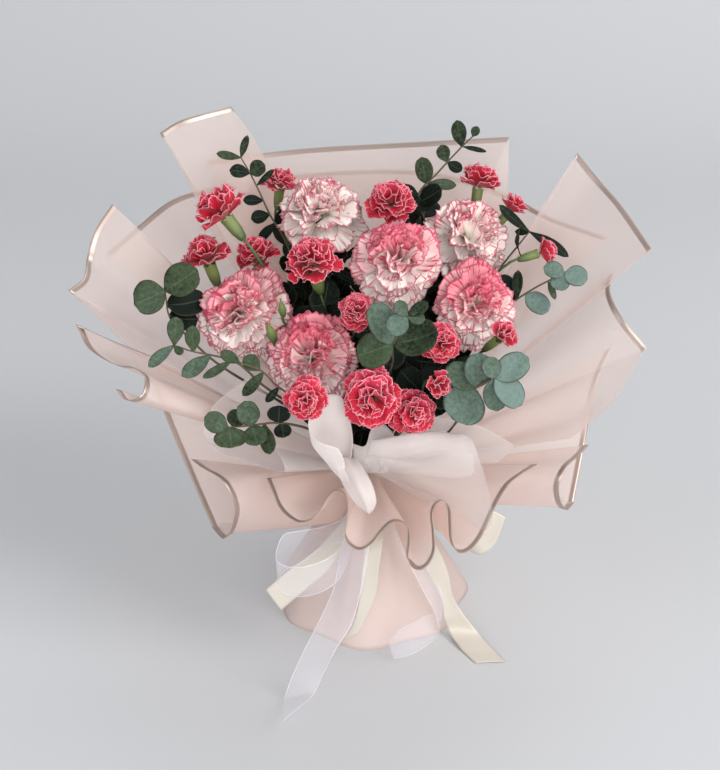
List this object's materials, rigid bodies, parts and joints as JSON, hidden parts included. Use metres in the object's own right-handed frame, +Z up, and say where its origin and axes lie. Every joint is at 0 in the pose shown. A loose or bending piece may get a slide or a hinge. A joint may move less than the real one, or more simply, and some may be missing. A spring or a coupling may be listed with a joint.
{
  "type": "carnation bouquet",
  "caption": "Hand-tied bunch of carnations and eucalyptus, wrapped in film and tissue with ribbons, standing on its spread stems.",
  "frame": {"origin": "centre of the flat cut end of the central stem, on the table under the tie", "axes": "+Z up along the central stem, +X to the right, -Y towards the viewer"},
  "size_m": [0.4424, 0.378, 0.3943],
  "materials": {
    "large_petals": "matte",
    "spray_petals": "matte",
    "carnation_green": "satin",
    "eucalyptus_green": "matte",
    "wrap_film": "satin",
    "white_tissue": "matte",
    "twine": "matte",
    "cream_satin": "satin",
    "white_organza": "satin"
  },
  "bodies": {
    "root": {"binding_tie": "twine", "eucalyptus_centre": "eucalyptus_green", "eucalyptus_far_left": "eucalyptus_green", "eucalyptus_left_narrow": "eucalyptus_green", "eucalyptus_left_small": "eucalyptus_green", "eucalyptus_lower_left": "eucalyptus_green", "eucalyptus_right": "eucalyptus_green", "eucalyptus_right_edge": "eucalyptus_green", "eucalyptus_right_low": "eucalyptus_green", "eucalyptus_top_left": "eucalyptus_green", "eucalyptus_top_right": "eucalyptus_green", "film_back_arch": "wrap_film", "film_back_left": "wrap_film", "film_back_top": "wrap_film", "film_foot_skirt": "wrap_film", "film_front_ruffle": "wrap_film", "film_left_roll": "wrap_film", "film_left_wing": "wrap_film", "film_lower_left": "wrap_film", "film_lower_right": "wrap_film", "film_right_fold": "wrap_film", "film_right_wing": "wrap_film", "large_bloom_1": "large_petals", "large_bloom_2": "large_petals", "large_bloom_3": "large_petals", "large_bloom_4": "large_petals", "large_bloom_5": "large_petals", "large_bloom_6": "large_petals", "large_stem_1": "carnation_green", "large_stem_2": "carnation_green", "large_stem_3": "carnation_green", "large_stem_4": "carnation_green", "large_stem_5": "carnation_green", "large_stem_6": "carnation_green", "organza_ribbon": "white_organza", "satin_ribbon": "cream_satin", "spray_bloom_01": "spray_petals", "spray_bloom_02": "spray_petals", "spray_bloom_03": "spray_petals", "spray_bloom_04": "spray_petals", "spray_bloom_05": "spray_petals", "spray_bloom_06": "spray_petals", "spray_bloom_07": "spray_petals", "spray_bloom_08": "spray_petals", "spray_bloom_09": "spray_petals", "spray_bloom_10": "spray_petals", "spray_bloom_11": "spray_petals", "spray_bloom_12": "spray_petals", "spray_bloom_13": "spray_petals", "spray_bloom_14": "spray_petals", "spray_bloom_15": "spray_petals", "spray_bloom_16": "spray_petals", "spray_stem_1": "carnation_green", "spray_stem_2": "carnation_green", "spray_stem_3": "carnation_green", "spray_stem_4": "carnation_green", "spray_stem_5": "carnation_green", "spray_stem_6": "carnation_green", "tissue_left": "white_tissue", "tissue_right": "white_tissue"}
  },
  "joints": []
}
